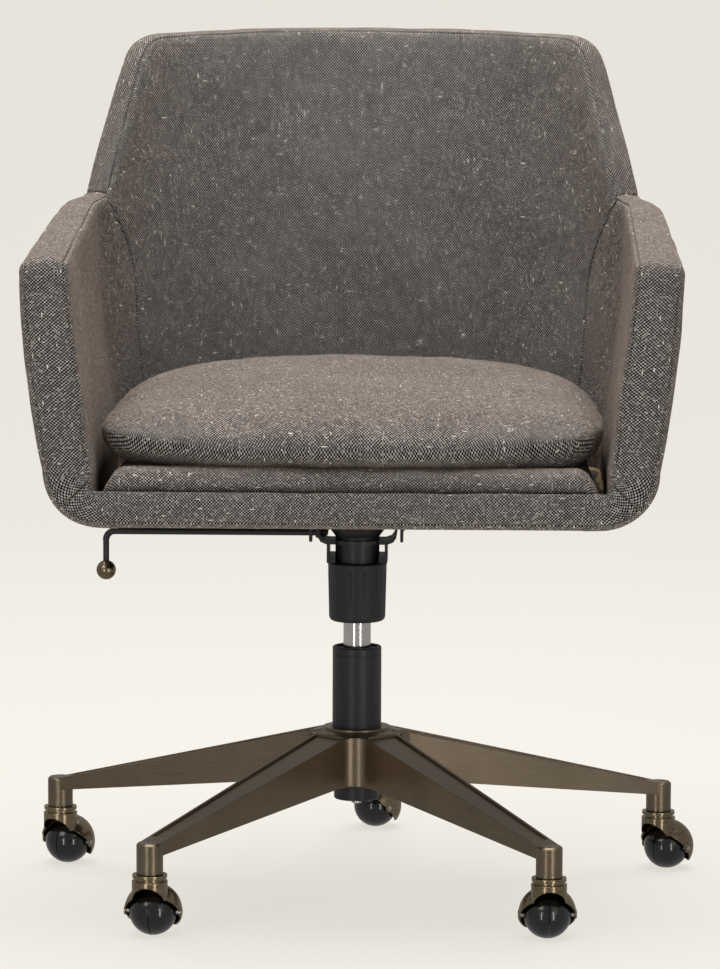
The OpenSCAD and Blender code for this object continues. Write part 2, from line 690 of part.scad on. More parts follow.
base_star();
column_tube();
guide_bush();
piston_rod();
piston();
thrust_bearing();
retaining_clip();
pressure_tube();
hub_tube();
tilt_yoke();
lever_bush();
release_pin();
lever_rod();
lever_ball();
thrust_washer();
tension_spring();
tension_knob();
knob_nut();
seat_plate();
pivot_pins();
plate_bolts();
t_nuts();
seat_board();
front_rail();
dust_cover();
shell_frame();
outer_cover();
back_pad();
arm_pad_left();
arm_pad_right();
rim_band();
front_band();
deck_pad();
seat_cushion();
caster_stem(0);  // stem_1
caster_stem(1);  // stem_2
caster_stem(2);  // stem_3
caster_stem(3);  // stem_4
caster_stem(4);  // stem_5
caster_hood(0);  // hood_1
caster_hood(1);  // hood_2
caster_hood(2);  // hood_3
caster_hood(3);  // hood_4
caster_hood(4);  // hood_5
caster_axle(0);  // axle_1
caster_axle(1);  // axle_2
caster_axle(2);  // axle_3
caster_axle(3);  // axle_4
caster_axle(4);  // axle_5
caster_wheel(0, -1);  // wheel_left_1
caster_wheel(1, -1);  // wheel_left_2
caster_wheel(2, -1);  // wheel_left_3
caster_wheel(3, -1);  // wheel_left_4
caster_wheel(4, -1);  // wheel_left_5
caster_wheel(0, 1);  // wheel_right_1
caster_wheel(1, 1);  // wheel_right_2
caster_wheel(2, 1);  // wheel_right_3
caster_wheel(3, 1);  // wheel_right_4
caster_wheel(4, 1);  // wheel_right_5
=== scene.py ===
"""Looks of the swivel office chair: upholstery, metals, plastics, light and camera."""
import json
import math

import bpy
import numpy as np
from mathutils import Matrix, Vector, noise


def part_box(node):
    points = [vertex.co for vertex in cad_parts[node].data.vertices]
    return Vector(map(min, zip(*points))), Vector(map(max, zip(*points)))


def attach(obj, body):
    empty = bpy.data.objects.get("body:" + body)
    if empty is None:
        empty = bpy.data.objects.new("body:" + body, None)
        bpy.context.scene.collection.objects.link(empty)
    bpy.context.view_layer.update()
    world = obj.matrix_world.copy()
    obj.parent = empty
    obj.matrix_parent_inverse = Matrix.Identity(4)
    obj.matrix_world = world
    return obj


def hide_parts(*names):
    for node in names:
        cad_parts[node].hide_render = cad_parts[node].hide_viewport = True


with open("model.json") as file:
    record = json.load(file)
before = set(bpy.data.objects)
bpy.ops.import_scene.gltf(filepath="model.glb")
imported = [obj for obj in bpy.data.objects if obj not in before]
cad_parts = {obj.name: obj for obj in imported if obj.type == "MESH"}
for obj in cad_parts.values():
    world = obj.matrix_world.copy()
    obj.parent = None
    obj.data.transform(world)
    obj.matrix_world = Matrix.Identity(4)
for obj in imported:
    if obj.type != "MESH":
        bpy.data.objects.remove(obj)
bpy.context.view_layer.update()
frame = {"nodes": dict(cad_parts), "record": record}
nodes = frame["nodes"]


def low(node):
    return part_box(node)[0]


def high(node):
    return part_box(node)[1]


# ------------------------------------------------------------------ bucket form
HALF_W = high("front_band")[0] - 0.0025
FRONT = -low("front_band")[1]
BOTTOM = low("outer_cover")[2]
BACK_TOP = high("rim_band")[2] - 0.0045
CORNER_R = 0.055           # lower corner of the bucket
CORNER_Z = BOTTOM + CORNER_R
ARM_FRONT_Z = BOTTOM + 0.257
ARM_REAR_Z = BOTTOM + 0.3005
ARM_CURVE_Y = 0.066        # where the straight arm begins to turn in
ARM_TOE = math.radians(1.2)
TURN_ARM = math.radians(36)
TURN_WING = math.radians(52)
ARM_CURVE_R = 0.100
WING_CURVE_R = 0.270
EDGE_R = 0.013             # outer edge of the band
BAND_CROWN = 0.0016        # rise of the band's padding between its edges
INNER_R = 0.007            # inner edge of the band
SEAM_TURN = math.radians(58)
RAIL_T = 0.040             # height of the front rail's face
WALL_BACK = 0.038          # thickness of the wall round the back
LEAN_FROM = 0.68           # the sides draw in below this height
UNDER_LAP = 0.018          # how far the outer panels lap in under the seat
INNER_FLOOR = BOTTOM + 0.018   # lower end of the inner panels, behind the deck

x_straight = HALF_W - (ARM_CURVE_Y + FRONT) * math.tan(ARM_TOE)
x_wing = x_straight - ARM_CURVE_R * (math.cos(ARM_TOE) - math.cos(TURN_ARM))
x_back = x_wing - WING_CURVE_R * (math.cos(TURN_ARM) - math.cos(TURN_WING))
BACK_CURVE_R = x_back / math.cos(TURN_WING)
arm_centre = (x_straight - ARM_CURVE_R * math.cos(ARM_TOE), ARM_CURVE_Y - ARM_CURVE_R * math.sin(ARM_TOE))
wing_centre = (x_wing - WING_CURVE_R * math.cos(TURN_ARM),
               arm_centre[1] + (ARM_CURVE_R - WING_CURVE_R) * math.sin(TURN_ARM))
back_centre = (0.0, wing_centre[1] + (WING_CURVE_R - BACK_CURVE_R) * math.sin(TURN_WING))

# Arc lengths along the outer plan curve, from the front of an arm to the middle of the back
S_ARM = (ARM_CURVE_Y + FRONT) / math.cos(ARM_TOE)
S_JOIN = S_ARM + ARM_CURVE_R * (TURN_ARM - ARM_TOE)
S_WING = S_JOIN + WING_CURVE_R * (TURN_WING - TURN_ARM)
S_HALF = S_WING + BACK_CURVE_R * (math.pi / 2 - TURN_WING)


def plan(s):
    """Plan point and normal angle of the outer face at an arc length, on the right side."""
    s = np.asarray(s, float)
    turn = np.where(s < S_ARM, ARM_TOE,
                    np.where(s < S_JOIN, ARM_TOE + (s - S_ARM) / ARM_CURVE_R,
                             np.where(s < S_WING, TURN_ARM + (s - S_JOIN) / WING_CURVE_R,
                                      TURN_WING + (s - S_WING) / BACK_CURVE_R)))
    cx = np.where(s < S_JOIN, arm_centre[0], np.where(s < S_WING, wing_centre[0], back_centre[0]))
    cy = np.where(s < S_JOIN, arm_centre[1], np.where(s < S_WING, wing_centre[1], back_centre[1]))
    rad = np.where(s < S_JOIN, ARM_CURVE_R, np.where(s < S_WING, WING_CURVE_R, BACK_CURVE_R))
    x = cx + rad * np.cos(turn)
    y = cy + rad * np.sin(turn)
    run = s - S_ARM
    x = np.where(s < S_ARM, x_straight - run * math.sin(ARM_TOE), x)
    y = np.where(s < S_ARM, ARM_CURVE_Y + run * math.cos(ARM_TOE), y)
    return x, y, turn


def lean_x(z):
    """Inward lean of the sides at a height."""
    return np.where(z < LEAN_FROM, -0.45 * (LEAN_FROM - z) ** 2, 0.0)


def lean_y(z):
    """Backward rake of the wall at a height."""
    rise = z - 0.70
    return 0.16 * rise + 0.14 * rise ** 2


def wall(s, v, depth, side):
    """Point of the wall at arc length s, height v (below the corner, length round it) and depth."""
    s, v, depth = np.broadcast_arrays(s, v, depth)
    x, y, t = plan(s)
    turn = np.clip((CORNER_Z - v) / CORNER_R, 0, math.pi / 2)
    run = np.maximum(0, CORNER_Z - v - CORNER_R * math.pi / 2)
    level = np.maximum(v, CORNER_Z)
    inset = depth * np.cos(turn) + CORNER_R * (1 - np.cos(turn)) + run
    z = np.where(v < CORNER_Z, CORNER_Z - (CORNER_R - depth) * np.sin(turn), v)
    return np.stack([side * (x + np.cos(t) * (lean_x(level) - inset)),
                     y + np.sin(t) * (lean_y(level) - inset), z], -1)


def thickness(s, v):
    """Thickness of the wall at arc length s and height v."""
    front = np.interp(v, [CORNER_Z, BOTTOM + 0.127, ARM_FRONT_Z], [0.046, 0.052, 0.047])
    front = front + 0.015 * np.exp(-((v - CORNER_Z + 0.75 * CORNER_R) / 0.028) ** 2)
    t = front + (WALL_BACK - front) * np.clip(s / S_JOIN, 0, 1)
    return np.where(v < CORNER_Z, RAIL_T + (t - RAIL_T) * np.clip((v - CORNER_Z) / 0.06 + 1, 0, 1), t)


def path_length(points):
    """Length along a polyline up to each of its points."""
    return np.concatenate([[0], np.cumsum(np.linalg.norm(np.diff(points, axis=0), axis=1))])


def fillet_path(points, radii, step=0.0015):
    """Points along a polyline with rounded corners, evenly spaced."""
    out = [np.array(points[0])]
    for i in range(1, len(points) - 1):
        p, a, b = (np.array(q, float) for q in (points[i], points[i - 1], points[i + 1]))
        u, w = (a - p) / np.linalg.norm(a - p), (b - p) / np.linalg.norm(b - p)
        half = math.acos(np.clip(u @ w, -1, 1)) / 2
        cut = radii[i] / math.tan(half)
        centre = p + (u + w) / np.linalg.norm(u + w) * radii[i] / math.sin(half)
        start, end = p + u * cut - centre, p + w * cut - centre
        total = math.pi - 2 * half
        sign = math.copysign(1, start[0] * end[1] - start[1] * end[0])
        count = max(3, int(total * radii[i] / step))
        for k in range(count + 1):
            a_k = sign * total * k / count
            c, q = math.cos(a_k), math.sin(a_k)
            out.append(centre + np.array([c * start[0] - q * start[1], q * start[0] + c * start[1]]))
    out.append(np.array(points[-1]))
    raw = np.array(out)
    along = path_length(raw)
    count = int(along[-1] / step)
    at = np.linspace(0, along[-1], count + 1)
    return np.stack([np.interp(at, along, raw[:, i]) for i in range(2)], -1), at


V_CENTRE = CORNER_Z - CORNER_R * math.pi / 2 - (plan(0.0)[0] + lean_x(CORNER_Z) - CORNER_R)
S_TOP = S_JOIN + (S_WING - S_JOIN) * 0.83   # where the wing's slope meets the top of the back
rim_corners = [(0, V_CENTRE), (0, ARM_FRONT_Z), (S_JOIN, ARM_REAR_Z),
               (S_TOP, BACK_TOP - 0.007), (S_HALF - 0.12, BACK_TOP - 0.001), (S_HALF, BACK_TOP)]
rim, rim_at = fillet_path(rim_corners, [0, EDGE_R, 0.012, 0.040, 0.20, 0])
tangent = np.gradient(rim, rim_at, axis=0)
tangent /= np.linalg.norm(tangent, axis=1)[:, None]
rim_normal = np.stack([-tangent[:, 1], tangent[:, 0]], -1)
RIM_END = rim_at[-1]


def first_at(test):
    """Place along the rim where a test first holds."""
    return rim_at[int(np.argmax(test))]


ARM_SLOPE = (ARM_REAR_Z - ARM_FRONT_Z) / S_JOIN
AT_MITRE = first_at(rim[:, 1] > CORNER_Z - CORNER_R * math.pi / 4)
AT_BEND = first_at(rim_normal[:, 1] > math.cos(math.atan(ARM_SLOPE)) - 1e-4)
AT_JOIN = first_at(rim[:, 0] > S_JOIN)


def rim_point(at):
    """Points and normals of the rim at given places along it."""
    return (np.stack([np.interp(at, rim_at, rim[:, i]) for i in range(2)], -1),
            np.stack([np.interp(at, rim_at, rim_normal[:, i]) for i in range(2)], -1))


# ------------------------------------------------------------------ mesh helpers
TUCK_R = 0.0026            # radius by which a panel rolls into its seam
TUCK_STEPS = np.array([0, 0.25, 0.6, 1.1, 1.8, 2.6, 4.0]) * 1e-3


def spaced(length, step, start=True, end=True):
    """Distances from 0 to length, close together at the ends that roll into a seam."""
    first = TUCK_STEPS if start else np.array([0.0])
    last = length - TUCK_STEPS[::-1] if end else np.array([length])
    room = last[0] - first[-1]
    count = max(1, int(round(room / step)))
    return np.concatenate([first, first[-1] + room * np.arange(1, count) / count, last])


def grid_normals(p):
    """Unit normals of a grid of points."""
    du = np.gradient(p, axis=0)
    dv = np.gradient(p, axis=1)
    n = np.cross(du, dv)
    return n / np.maximum(np.linalg.norm(n, axis=-1, keepdims=True), 1e-12)


def edge_distance(p, axis, start):
    """Arc length from one border of the grid to every point."""
    q = p if axis == 0 else p.swapaxes(0, 1)
    q = q if start else q[::-1]
    step = np.linalg.norm(np.diff(q, axis=0), axis=-1)
    d = np.concatenate([np.zeros((1, q.shape[1])), np.cumsum(step, axis=0)])
    d = d if start else d[::-1]
    return d if axis == 0 else d.T


def roll_in(p, borders, puff=0.0015, reach=0.018, tuck=TUCK_R):
    """Rolls the grid's borders into their seams and fills it between them.
    borders is a string of t, b, l and r: first row, last row, first and last column."""
    n = grid_normals(p)
    sets = {"t": (0, True), "b": (0, False), "l": (1, True), "r": (1, False)}
    drop = np.zeros(p.shape[:2])
    near = np.full(p.shape[:2], 1.0)
    for c in borders:
        d = edge_distance(p, *sets[c])
        inside = np.clip(1 - d / tuck, 0, 1)
        drop = np.maximum(drop, tuck * (1 - np.sqrt(np.maximum(0, 1 - inside ** 2))))
        near = np.minimum(near, d)
    drop -= puff * (1 - np.exp(-near / reach))
    return p - n * drop[..., None]


def ripple(p, size, scale, seed):
    """Soft unevenness of padded cloth."""
    flat = p.reshape(-1, 3)
    offset = np.array([seed * 7.3, seed * 3.1, seed * 5.7])
    h = np.array([noise.noise((q * scale + offset).tolist()) for q in flat]).reshape(p.shape[:2])
    return p + grid_normals(p) * (h * size)[..., None]


def facing(p, uv, out):
    """Turns the grid round where its middle faces away from out."""
    middle = grid_normals(p)[p.shape[0] // 2, p.shape[1] // 2]
    return (p[:, ::-1], uv[:, ::-1]) if middle @ np.asarray(out) < 0 else (p, uv)


def grid_uv(u, v):
    return np.stack(np.broadcast_arrays(u, v), -1)


def grid_quads(index):
    """Faces between the points of a grid, given by their numbers."""
    return np.stack([index[:-1, :-1], index[1:, :-1], index[1:, 1:], index[:-1, 1:]], -1).reshape(-1, 4)


def grid_object(name, p, uv, outward):
    """Cloth object of the seat from a grid of points; its faces look the way of outward."""
    rows, cols = p.shape[:2]
    index = np.arange(rows * cols).reshape(rows, cols)
    quads = grid_quads(index)
    mid_r, mid_c = rows // 2, cols // 2
    n = np.cross(p[mid_r + 1, mid_c] - p[mid_r, mid_c], p[mid_r, mid_c + 1] - p[mid_r, mid_c])
    if n @ np.asarray(outward) < 0:
        quads = quads[:, ::-1]
    obj = cloth_object(name, p.reshape(-1, 3), quads, uv.reshape(-1, 2)[quads.ravel()])
    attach(obj, "seat")
    return obj


def cloth_object(name, verts, quads, loop_uv):
    """Smooth object in tweed from points, faces and the cloth's place at every face corner."""
    mesh = bpy.data.meshes.new(name)
    mesh.from_pydata(verts.tolist(), [], quads.tolist())
    mesh.uv_layers.new(name="weave").data.foreach_set("uv", loop_uv.ravel())
    mesh.polygons.foreach_set("use_smooth", np.ones(len(mesh.polygons), bool))
    mesh.materials.append(cloth)
    mesh.update()
    return linked(name, mesh)


def linked(name, data):
    """New object in the scene's own collection."""
    obj = bpy.data.objects.new(name, data)
    bpy.context.scene.collection.objects.link(obj)
    return obj


# ------------------------------------------------------------------ materials
class Nodes:
    """Short names for building a node material."""

    def __init__(self, name):
        self.mat = bpy.data.materials.new(name)
        self.mat.use_nodes = True
        self.tree = self.mat.node_tree
        self.shader = self.tree.nodes["Principled BSDF"]

    def add(self, kind, **settings):
        node = self.tree.nodes.new("ShaderNode" + kind)
        inputs = settings.pop("inputs", {})
        for key, value in settings.items():
            setattr(node, key, value)
        for key, value in inputs.items():
            self.put(node, key, value)
        return node

    def put(self, node, key, value):
        """Sets an input to a value, or links it to a socket or a node's first output."""
        socket = node.inputs[key]
        if isinstance(value, bpy.types.NodeSocket):
            self.tree.links.new(value, socket)
        elif isinstance(value, bpy.types.Node):
            self.tree.links.new(value.outputs[0], socket)
        else:
            socket.default_value = value

    def math(self, operation, a, b=0.0, clamp=False):
        return self.add("Math", operation=operation, use_clamp=clamp, inputs={0: a, 1: b})

    def noise(self, vector, scale, detail=2.0, roughness=0.5):
        return self.add("TexNoise", inputs={"Vector": vector, "Scale": scale, "Detail": detail,
                                            "Roughness": roughness})

    def ramp(self, value, stops):
        node = self.add("ValToRGB", inputs={"Fac": value})
        ramp = node.color_ramp
        for i, (place, colour) in enumerate(stops):
            e = ramp.elements[i] if i < 2 else ramp.elements.new(place)
            e.position = place
            e.color = (*colour, 1)
        return node

    def mix(self, factor, a, b, blend="MIX"):
        node = self.add("Mix", data_type="RGBA", blend_type=blend)
        self.put(node, 0, factor)
        self.put(node, 6, a)
        self.put(node, 7, b)
        return node.outputs[2]

    def stretch(self, vector, scale):
        return self.add("Mapping", inputs={"Vector": vector, "Scale": scale})

    def set(self, **values):
        """Sets inputs of the shader, an underscore standing for a space."""
        for key, value in values.items():
            self.put(self.shader, key.replace("_", " "), value)


WEAVE_CELL = 0.0016        # one thread of the hopsack
SLUB_FROM = 0.715          # noise above this is a pale slub; a lower value gives more of them
THREAD_DARK = (0.003, 0.0028, 0.0028, 1)
THREAD_PALE = (0.84, 0.815, 0.80, 1)
PAINTED_SHEEN_BROWN = (0.84, 0.70, 0.61, 1)   # painted sheen: brown given to the pale thread where the cloth turns away from the front


def tweed(name):
    """Hopsack of dark and pale threads, each crossing a little lighter or darker than the next; painted sheen
    browns the pale thread where the cloth turns away from the front.
    """
    m = Nodes(name)
    uv = m.add("UVMap", uv_map="weave")
    wobble = m.noise(m.stretch(uv, (70, 70, 1)), 1.0)
    shift = m.add("VectorMath", operation="MULTIPLY_ADD",
                  inputs={0: wobble.outputs["Color"], 1: (0.0012, 0.0012, 0), 2: uv})
    cells = m.add("VectorMath", operation="SCALE", inputs={0: shift, "Scale": 1 / WEAVE_CELL})
    check = m.add("TexChecker", inputs={"Vector": cells, "Scale": 1.0})
    own = m.add("TexWhiteNoise", noise_dimensions="3D",
                inputs={"Vector": m.add("VectorMath", operation="FLOOR", inputs={0: cells})})
    xyz = m.add("SeparateXYZ", inputs={0: cells})
    wave_u = m.math("ABSOLUTE", m.math("SINE", m.math("MULTIPLY", xyz.outputs[0], math.pi)))
    wave_v = m.math("ABSOLUTE", m.math("SINE", m.math("MULTIPLY", xyz.outputs[1], math.pi)))
    # Rounded profile of each thread cell: the bump's height, and in the colour painted shade that darkens the
    # pale threads towards the dips between them
    dome = m.math("POWER", m.math("MULTIPLY", wave_u, wave_v), 0.2)
    thread = m.noise(m.stretch(uv, (420, 420, 1)), 1.0, 3.0, 0.7)
    tone = m.noise(m.stretch(uv, (9, 9, 1)), 1.0, 3.0)
    # Painted sheen: the pale thread is mixed towards brown as the surface's normal turns away from the front
    # (Y)
    across = m.add("SeparateXYZ", inputs={0: m.add("TexCoord").outputs["Normal"]}).outputs[1]
    painted_sheen_mask = m.math("SUBTRACT", 1.0, m.math("MULTIPLY", across, across))
    pale = m.mix(painted_sheen_mask, THREAD_PALE, PAINTED_SHEEN_BROWN)
    pale_mix = m.mix(thread.outputs["Fac"], pale, m.mix(0.5, pale, (0.05, 0.04, 0.035, 1)))
    light = m.math("ADD", 0.4, m.math("MULTIPLY", own.outputs["Value"], 0.55))
    stray = m.math("MULTIPLY", m.math("GREATER_THAN", own.outputs["Value"], 0.93), 0.45)
    share = m.math("MAXIMUM", m.math("MULTIPLY", check.outputs["Fac"], light), stray)
    # Painted shade: the dome darkens the pale share towards each cell's edges
    body = m.mix(m.math("MULTIPLY", share, dome), THREAD_DARK, pale_mix)
    slubs = [m.math("MULTIPLY", m.math("SUBTRACT", m.noise(m.stretch(uv, run), 1.0, 1.0).outputs["Fac"],
                                       SLUB_FROM), 22, True)
             for run in ((95, 430, 1), (430, 105, 1))]
    slub = m.math("MAXIMUM", *slubs)
    fleck = m.mix(slub, body, (0.97, 0.93, 0.87, 1))
    shade = m.ramp(tone.outputs["Fac"], [(0.3, (0.84, 0.84, 0.84)), (0.7, (1, 1, 1))])
    m.set(Base_Color=m.mix(1.0, fleck, shade.outputs[0], "MULTIPLY"), Roughness=0.92,
          Sheen_Weight=0.12, Sheen_Roughness=0.4, Sheen_Tint=(0.62, 0.48, 0.38, 1),
          Specular_IOR_Level=0.12)
    height = m.math("ADD", dome, m.math("MULTIPLY", slub, 1.5))
    m.set(Normal=m.add("Bump", inputs={"Strength": 0.22, "Distance": 0.0005, "Height": height}))
    return m.mat


def brushed(name, base, dark, roughness, grain=(3, 3, 260), strength=0.05):
    """Plated metal with rounded edges and fine brushing along the grain's long direction."""
    m = Nodes(name)
    place = m.add("TexCoord").outputs["Object"]
    lines = m.noise(m.stretch(place, grain), 10.0, 4.0, 0.6)
    cloud = m.noise(m.stretch(place, (14, 14, 14)), 1.0, 3.0)
    both = m.math("ADD", m.math("MULTIPLY", lines.outputs["Fac"], 0.6),
                  m.math("MULTIPLY", cloud.outputs["Fac"], 0.4))
    tint = m.ramp(both, [(0.3, dark), (0.72, base)])
    rough = m.math("ADD", roughness - 0.08, m.math("MULTIPLY", both, 0.2))
    edge = m.add("Bevel", samples=4, inputs={"Radius": 0.0012})
    m.set(Base_Color=tint.outputs[0], Metallic=1.0, Roughness=rough,
          Normal=m.add("Bump", inputs={"Strength": strength, "Distance": 0.0004,
                                       "Height": lines.outputs["Fac"], "Normal": edge}))
    return m.mat


def moulded(name, base, roughness, grain=900.0, strength=0.12, coat=0.0):
    """Plastic or paint with a fine moulded or sprayed texture."""
    m = Nodes(name)
    place = m.add("TexCoord").outputs["Object"]
    fine = m.noise(place, grain, 2.0, 0.6)
    cloud = m.noise(place, 30.0, 3.0)
    tint = m.ramp(cloud.outputs["Fac"], [(0.35, tuple(0.8 * c for c in base)), (0.65, base)])
    rough = m.math("ADD", roughness - 0.06, m.math("MULTIPLY", cloud.outputs["Fac"], 0.12))
    m.set(Base_Color=tint.outputs[0], Roughness=rough, Coat_Weight=coat,
          Normal=m.add("Bump", inputs={"Strength": strength, "Distance": 0.0002,
                                       "Height": fine.outputs["Fac"]}))
    return m.mat


def plywood(name):
    """Pale veneer with its grain along Y."""
    m = Nodes(name)
    place = m.add("TexCoord").outputs["Object"]
    grain = m.noise(m.stretch(place, (60, 4, 60)), 2.0, 4.0, 0.6)
    tint = m.ramp(grain.outputs["Fac"], [(0.3, (0.36, 0.22, 0.11)), (0.7, (0.58, 0.40, 0.22))])
    m.set(Base_Color=tint.outputs[0], Roughness=0.6,
          Normal=m.add("Bump", inputs={"Strength": 0.1, "Distance": 0.0003, "Height": grain.outputs["Fac"]}))
    return m.mat


cloth = tweed("tweed")
bronze = brushed("bronze", (0.30, 0.240, 0.172), (0.165, 0.128, 0.088), 0.33)
antique = brushed("antique_brass", (0.40, 0.32, 0.21), (0.17, 0.13, 0.08), 0.22, (9, 9, 60))
chrome = brushed("chrome", (0.82, 0.80, 0.77), (0.62, 0.60, 0.57), 0.14, (4, 4, 120), 0.02)
zinc = brushed("zinc", (0.60, 0.60, 0.60), (0.42, 0.42, 0.42), 0.38)
black_paint = moulded("black_paint", (0.020, 0.020, 0.022), 0.42, 1500.0, 0.08)
black_plastic = moulded("black_plastic", (0.020, 0.020, 0.023), 0.50, 2600.0, 0.22)
wheel_black = moulded("wheel_black", (0.003, 0.003, 0.0035), 0.2, 300.0, 0.01, 0.6)
cambric = moulded("cambric", (0.012, 0.012, 0.013), 0.9, 1800.0, 0.5)
wood = plywood("plywood")
by_slot = {"bronze": bronze, "antique_brass": antique, "chrome": chrome, "zinc": zinc,
           "black_paint": black_paint, "black_plastic": black_plastic, "wheel_black": wheel_black,
           "cambric": cambric, "plywood": wood, "tweed": cloth}
for part in frame["record"]["subparts"]:
    for material_slot in nodes[part["node"]].material_slots:
        material_slot.material = by_slot[part["material_slot"]]


# ------------------------------------------------------------------ upholstered wall
def rim_rounding(s_values, radius):
    """Heights and normals of the rounding's centre line above given arc lengths s."""
    at = np.linspace(AT_BEND, RIM_END, 4000)
    e, n = rim_point(at)
    c = e - radius * n
    order = np.argsort(c[:, 0])
    return [np.interp(s_values, c[order, 0], q[order]) for q in (c[:, 1], n[:, 0], n[:, 1])]


V_LOW = CORNER_Z - CORNER_R * math.pi / 2 - UNDER_LAP
SEAM_LOW_V = 0.60          # the inner seam between arm and back is upright below this height
S_SEAM = S_JOIN + 0.045    # and lies here along the wall


def under_rows(v_main):
    """Adds an outer panel's rows round the lower corner and in under the seat."""
    extra = np.linspace(CORNER_Z, V_LOW, 22)[1:]
    return np.concatenate([v_main, np.repeat(extra[:, None], v_main.shape[1], axis=1)])


def hang_down(p, uv):
    """Carries an inner panel straight down from the corner's height to behind the deck."""
    drop = np.linspace(0, CORNER_Z - INNER_FLOOR, 5)[1:, None, None]
    return (np.concatenate([p, p[-1:] - drop * np.array([0, 0, 1])]),
            np.concatenate([uv, uv[-1:] - drop * np.array([0, 1])]))


def arm_panel(name, side, s_end, radius, inner, s_of=None):
    """One side of an arm, with its border rolled over the rim down to the seam.
    s_end is where it stops at the rim; s_of maps (fraction, height) to arc length."""
    arc = radius * SEAM_TURN
    over = spaced(arc, 0.003, True, False)[:-1]
    k = len(over)
    length = s_end - radius
    cols = spaced(length, 0.007, False, True)
    s_top = radius + cols
    v_top, n_s, n_v = rim_rounding(s_top, radius)
    rows_main = spaced(v_top[0] - CORNER_Z, 0.007, False, False)
    down = rows_main / rows_main[-1]
    v_main = v_top[None, :] + (CORNER_Z - v_top[None, :]) * down[:, None]
    if not inner:
        v_main = under_rows(v_main)
    s_main = s_top[None, :] + 0 * v_main if s_of is None else s_of((cols / length)[None, :], v_main)
    c_s = np.concatenate([np.repeat(s_top[None, :], k, 0), s_main])
    c_v = np.concatenate([np.repeat(v_top[None, :], k, 0), v_main])
    m_s = np.repeat(n_s[None, :], len(c_s), 0)
    m_v = np.repeat(n_v[None, :], len(c_s), 0)
    rho = np.concatenate([np.repeat((SEAM_TURN * (1 - over / arc))[:, None], len(cols), 1), 0 * v_main])
    # The front border's columns, which turn forward below the bend and upward above it
    left_v = c_v[:, :1]
    c_s = np.concatenate([np.full((len(c_s), k), radius), c_s], 1)
    c_v = np.concatenate([np.repeat(left_v, k, 1), c_v], 1)
    b = np.concatenate([1 - over / arc, np.zeros(len(c_s) - k)])[:, None]
    a = (1 - over / arc)[None, :]
    angle = np.where(b >= a, math.pi / 2 - math.pi / 4 * a / np.maximum(b, 1e-9),
                     math.pi / 4 * b / np.maximum(a, 1e-9))
    m_s = np.concatenate([-np.cos(angle), m_s], 1)
    m_v = np.concatenate([np.sin(angle), m_v], 1)
    rho = np.concatenate([SEAM_TURN * np.maximum(a, b), rho], 1)
    es = c_s + radius * np.sin(rho) * m_s
    ev = c_v + radius * np.sin(rho) * m_v
    depth = radius * (1 - np.cos(rho))
    if inner:
        depth = thickness(c_s, np.maximum(c_v, CORNER_Z)) - depth
    p = wall(es, ev, depth, side)
    uv = np.stack([c_s + radius * rho * m_s, c_v + radius * rho * m_v], -1)
    if inner:
        p, uv = hang_down(p, uv)
    turn = float(plan(radius + 0.5 * length)[2])
    out = np.array([side * math.cos(turn), math.sin(turn), 0]) * (-1 if inner else 1)
    p, uv = facing(p, uv, out)
    p = ripple(roll_in(p, "tlr"), 0.0011, 26, 3 if inner else 1)
    return grid_object(name, p, uv, out)


def band_panel(name, at0, at1, side0, side1):
    """Strip of the rim from one point to another; a negative side runs on the left."""
    step = 0.006
    if side0 == side1:
        at = at0 + spaced(at1 - at0, step)
        sides = np.full(len(at), side0)
    else:
        length = (RIM_END - at0) + (RIM_END - at1) if at0 > AT_MITRE else at0 + at1
        run = spaced(length, step)
        if at0 > AT_MITRE:
            half = RIM_END - at0
            at = np.where(run < half, at0 + run, RIM_END - (run - half))
            sides = np.where(run < half, side0, side1)
        else:
            at = np.where(run < at0, at0 - run, run - at0)
            sides = np.where(run < at0, side0, side1)
    e, n = rim_point(at)
    wide = thickness(e[:, 0], e[:, 1])
    turn = SEAM_TURN + (math.pi / 2 - SEAM_TURN) * np.array([0, .06, .15, .3, .5, .75])
    d_out = EDGE_R * (1 - np.cos(turn))
    h_out = EDGE_R * (1 - np.sin(turn))
    flat = np.linspace(0, 1, 9)
    d_in = INNER_R * (1 - np.cos(turn))[::-1]
    h_in = INNER_R * (1 - np.sin(turn))[::-1]
    rows = [(np.full(len(at), d), h) for d, h in zip(d_out, h_out)]
    rows += [(EDGE_R + (wide - INNER_R - EDGE_R) * f, -BAND_CROWN * (1 - (2 * f - 1) ** 2)) for f in flat]
    rows += [(wide - d, h) for d, h in zip(d_in, h_in)]
    p = np.array([np.where(sides[:, None] > 0, *(wall(*(e - h * n).T, d, side) for side in (1, -1)))
                  for d, h in rows])
    mid = len(at) // 2
    uv = grid_uv(path_length(p[len(rows) // 2])[None, :], path_length(p[:, mid])[:, None])
    core = wall(*(e[mid] - 0.02 * n[mid]), 0.02, int(sides[mid]))
    out = p[:, mid].mean(axis=0) - core
    p, uv = facing(p, uv, out)
    p = roll_in(p, "tblr", puff=0.0008, reach=0.008, tuck=0.0022)
    return grid_object(name, ripple(p, 0.0007, 34, 5), uv, out)


def seam_s(v):
    """Arc length of the inner seam between arm and back at a height."""
    g = np.clip((v - SEAM_LOW_V) / (ARM_REAR_Z - 0.006 - SEAM_LOW_V), 0, 1) ** 2.2
    return S_SEAM + (S_JOIN - S_SEAM) * g


def build_wall():
    """All panels of the wall, by name."""
    made = []
    s_split = S_JOIN + 0.012
    for side, tag in ((1, "right"), (-1, "left")):
        made += [arm_panel(f"outer_arm_{tag}", side, s_split, EDGE_R, False),
                 arm_panel(f"inner_arm_{tag}", side, S_JOIN, INNER_R, True,
                           lambda f, v: INNER_R + (seam_s(v) - INNER_R) * f),
                 band_panel(f"band_arm_{tag}", AT_MITRE, AT_JOIN, side, side)]
    made += [back_panel("outer_back", s_split, EDGE_R, False),
             back_panel("inner_back", S_JOIN, INNER_R, True),
             band_panel("band_back", AT_JOIN, AT_JOIN, -1, 1),
             band_panel("band_rail", AT_MITRE, AT_MITRE, -1, 1),
             rail_under()]
    return {piece.name: piece for piece in made}


